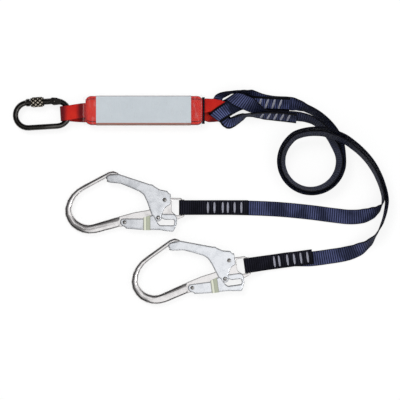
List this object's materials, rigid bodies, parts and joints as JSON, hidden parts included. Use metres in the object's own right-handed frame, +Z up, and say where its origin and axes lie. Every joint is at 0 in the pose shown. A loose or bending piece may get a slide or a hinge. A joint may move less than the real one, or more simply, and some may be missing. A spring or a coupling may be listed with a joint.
{
  "type": "twin shock-absorbing lanyard",
  "caption": "Fall-arrest lanyard: oval screw-sleeve carabiner, tear-webbing energy absorber in a clear sleeve, forked webbing legs and scaffold hooks with lock levers.",
  "frame": {"origin": "middle of the flat underside of the energy absorber's clear sleeve", "axes": "+X along the absorber towards the legs, +Y across it on the side away from the hooks, +Z up from the table"},
  "size_m": [0.7093, 0.4049, 0.0589],
  "materials": {
    "forging": "forged, zinc plated",
    "plate": "bright zinc plate",
    "rivet": "satin",
    "spring": "bright wire",
    "band": "striped tape",
    "dark_steel": "dark polished",
    "sleeve_steel": "knurled, worn",
    "red_webbing": "woven",
    "navy_webbing": "woven with pale ribs",
    "label": "pale sheet",
    "clear": "clear shrink film"
  },
  "bodies": {
    "absorber": {"tear_webbing_pack": "red_webbing", "label_wrap": "label", "clear_shrink_sleeve": "clear", "near_loop": "red_webbing", "far_loop": "red_webbing", "upper_leg": "navy_webbing", "lower_leg": "navy_webbing"},
    "carabiner": {"carabiner_body": "dark_steel", "carabiner_rivet": "dark_steel"},
    "carabiner_gate": {"carabiner_gate": "dark_steel", "gate_plunger_spring": "spring"},
    "screw_sleeve": {"screw_sleeve": "sleeve_steel"},
    "gate_plunger": {"gate_plunger": "spring"},
    "hook_1": {"hook_1_body": "forging", "hook_1_lever_rivet": "rivet", "hook_1_gate_spring": "spring", "hook_1_lever_spring": "spring"},
    "hook_1_gate": {"hook_1_gate": "plate", "hook_1_gate_rivet": "rivet", "hook_1_catch_pin": "rivet"},
    "hook_1_lever": {"hook_1_lock_lever": "plate", "hook_1_inspection_band": "band"},
    "hook_2": {"hook_2_body": "forging", "hook_2_lever_rivet": "rivet", "hook_2_gate_spring": "spring", "hook_2_lever_spring": "spring"},
    "hook_2_gate": {"hook_2_gate": "plate", "hook_2_gate_rivet": "rivet", "hook_2_catch_pin": "rivet"},
    "hook_2_lever": {"hook_2_lock_lever": "plate", "hook_2_inspection_band": "band"}
  },
  "joints": [
    {"name": "carabiner_swing", "type": "hinge", "parent": "absorber", "child": "carabiner", "pos_m": [-0.14549, -0.00431, 0.0122], "axis": [-0.0611, 0.9981, 0], "range_deg": [-65, 65]},
    {"name": "carabiner_gate_hinge", "type": "hinge", "parent": "carabiner", "child": "carabiner_gate", "pos_m": [-0.17049, 0.01796, 0.0122], "axis": [0, 0, 1], "range_deg": [0, 25], "stiffness_Nm_per_rad": 0.3, "springref_deg": -17.19},
    {"name": "screw_sleeve_slide", "type": "slide", "parent": "carabiner_gate", "child": "screw_sleeve", "axis": [0.9981, 0.0611, 0], "range_m": [-0.008, 0.011]},
    {"name": "gate_plunger_slide", "type": "slide", "parent": "carabiner_gate", "child": "gate_plunger", "axis": [-0.9981, -0.0611, 0], "range_m": [0, 0.0014], "deforming": ["gate_plunger_spring"]},
    {"name": "hook_1_swing", "type": "hinge", "parent": "absorber", "child": "hook_1", "pos_m": [0.0722, -0.1834, 0.009], "axis": [0, 1, 0], "range_deg": [-120, 120]},
    {"name": "hook_1_gate_hinge", "type": "hinge", "parent": "hook_1", "child": "hook_1_gate", "pos_m": [0.0384, -0.1688, 0.009], "axis": [0, 0, 1], "range_deg": [0, 25], "stiffness_Nm_per_rad": 1, "springref_deg": -14.32, "deforming": ["hook_1_gate_spring"]},
    {"name": "hook_1_lever_hinge", "type": "hinge", "parent": "hook_1", "child": "hook_1_lever", "pos_m": [-0.0374, -0.211, 0.009], "axis": [0, 0, 1], "range_deg": [0, 5.4], "stiffness_Nm_per_rad": 0.8, "springref_deg": -11.46, "deforming": ["hook_1_lever_spring"]},
    {"name": "hook_2_swing", "type": "hinge", "parent": "absorber", "child": "hook_2", "pos_m": [0.1956, -0.293, 0.009], "axis": [-0.134, 0.991, 0], "range_deg": [-120, 120]},
    {"name": "hook_2_gate_hinge", "type": "hinge", "parent": "hook_2", "child": "hook_2_gate", "pos_m": [0.16015, -0.28306, 0.009], "axis": [0, 0, 1], "range_deg": [0, 25], "stiffness_Nm_per_rad": 1, "springref_deg": -14.32, "deforming": ["hook_2_gate_spring"]},
    {"name": "hook_2_lever_hinge", "type": "hinge", "parent": "hook_2", "child": "hook_2_lever", "pos_m": [0.09069, -0.33504, 0.009], "axis": [0, 0, 1], "range_deg": [0, 5.4], "stiffness_Nm_per_rad": 0.8, "springref_deg": -11.46, "deforming": ["hook_2_lever_spring"]}
  ],
  "couplings": [
    {"joint": "gate_plunger_slide", "follows": "carabiner_gate_hinge", "m_per_rad": 0.0032},
    {"joint": "hook_1_lever_hinge", "follows": "hook_1_gate_hinge", "ratio": 0.21429},
    {"joint": "hook_2_lever_hinge", "follows": "hook_2_gate_hinge", "ratio": 0.21429}
  ]
}
